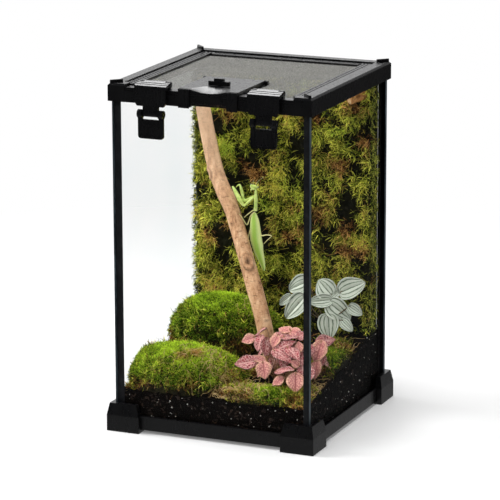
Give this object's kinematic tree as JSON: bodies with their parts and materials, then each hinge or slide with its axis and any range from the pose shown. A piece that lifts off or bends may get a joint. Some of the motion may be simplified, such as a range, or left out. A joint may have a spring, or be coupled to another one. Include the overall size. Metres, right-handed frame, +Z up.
{
  "type": "reptile terrarium",
  "caption": "Tall glass terrarium with black frame and feet, hinged screen lid, feeding hatch with turn lock, swing latches with pull levers, and a planted moss and branch interior.",
  "frame": {"origin": "centre of the footprint on the ground, under the feet", "axes": "+Z up; the latches and the hatch legs face -Y; +X to the right seen from the front"},
  "size_m": [0.2138, 0.2168, 0.3462],
  "materials": {
    "black_plastic": "satin",
    "clear_glass": "gloss",
    "black_silicone": "satin",
    "screen_wire": "satin",
    "pin_steel": "satin",
    "soil": "matt",
    "board": "matt",
    "moss": "matt",
    "bark": "matt",
    "silver_leaf": "satin",
    "pink_leaf": "satin",
    "mantis": "satin"
  },
  "bodies": {
    "tank": {"foot_front_left": "black_plastic", "foot_front_right": "black_plastic", "foot_rear_left": "black_plastic", "foot_rear_right": "black_plastic", "base_rail_front": "black_plastic", "base_rail_rear": "black_plastic", "base_rail_left": "black_plastic", "base_rail_right": "black_plastic", "floor_glass": "clear_glass", "floor_seal": "black_silicone", "front_glass": "clear_glass", "rear_glass": "clear_glass", "left_glass": "clear_glass", "right_glass": "clear_glass", "corner_seals": "black_silicone", "top_rail_front": "black_plastic", "top_rail_rear": "black_plastic", "top_rail_left": "black_plastic", "top_rail_right": "black_plastic", "top_corner_front_left": "black_plastic", "top_corner_front_right": "black_plastic", "top_corner_rear_left": "black_plastic", "top_corner_rear_right": "black_plastic", "soil": "soil", "backing_board": "board", "moss_wall": "moss", "moss_front_left": "moss", "moss_rear_left": "moss", "moss_right": "moss", "moss_front_edge": "moss", "branch": "bark", "wood_stub": "bark", "silver_plant": "silver_leaf", "pink_plant": "pink_leaf", "mantis_figure": "mantis"},
    "lid": {"lid_bar_front": "black_plastic", "lid_bar_rear": "black_plastic", "lid_bar_left": "black_plastic", "lid_bar_right": "black_plastic", "screen_left": "screen_wire", "screen_right": "screen_wire", "screen_rear": "screen_wire", "port_surround": "black_plastic", "lid_hinge_pins": "pin_steel", "hatch_hinge_pins": "pin_steel", "latch_hinge_pins": "pin_steel"},
    "hatch": {"hatch_plate": "black_plastic"},
    "turn_lock": {"lock_knob": "black_plastic", "lock_tongue": "pin_steel", "lock_washer": "pin_steel"},
    "latch_left": {"latch_left": "black_plastic", "lever_pin_left": "pin_steel"},
    "latch_right": {"latch_right": "black_plastic", "lever_pin_right": "pin_steel"},
    "lever_left": {"lever_left": "black_plastic"},
    "lever_right": {"lever_right": "black_plastic"}
  },
  "joints": [
    {"name": "lid_hinge", "type": "hinge", "parent": "tank", "child": "lid", "pos_m": [0, 0.088, 0.335], "axis": [-1, 0, 0], "range_deg": [0, 90]},
    {"name": "hatch_hinge", "type": "hinge", "parent": "lid", "child": "hatch", "pos_m": [0, -0.038, 0.33735], "axis": [-1, 0, 0], "range_deg": [0, 100]},
    {"name": "lock_turn", "type": "hinge", "parent": "hatch", "child": "turn_lock", "pos_m": [0, -0.077, 0.3395], "axis": [0, 0, -1], "range_deg": [0, 90]},
    {"name": "latch_left_hinge", "type": "hinge", "parent": "lid", "child": "latch_left", "pos_m": [-0.057, -0.094, 0.3398], "axis": [-1, 0, 0], "range_deg": [0, 75]},
    {"name": "latch_right_hinge", "type": "hinge", "parent": "lid", "child": "latch_right", "pos_m": [0.057, -0.094, 0.3398], "axis": [-1, 0, 0], "range_deg": [0, 75]},
    {"name": "lever_left_hinge", "type": "hinge", "parent": "latch_left", "child": "lever_left", "pos_m": [-0.057, -0.1059, 0.3132], "axis": [-1, 0, 0], "range_deg": [0, 95]},
    {"name": "lever_right_hinge", "type": "hinge", "parent": "latch_right", "child": "lever_right", "pos_m": [0.057, -0.1059, 0.3132], "axis": [-1, 0, 0], "range_deg": [0, 95]}
  ]
}
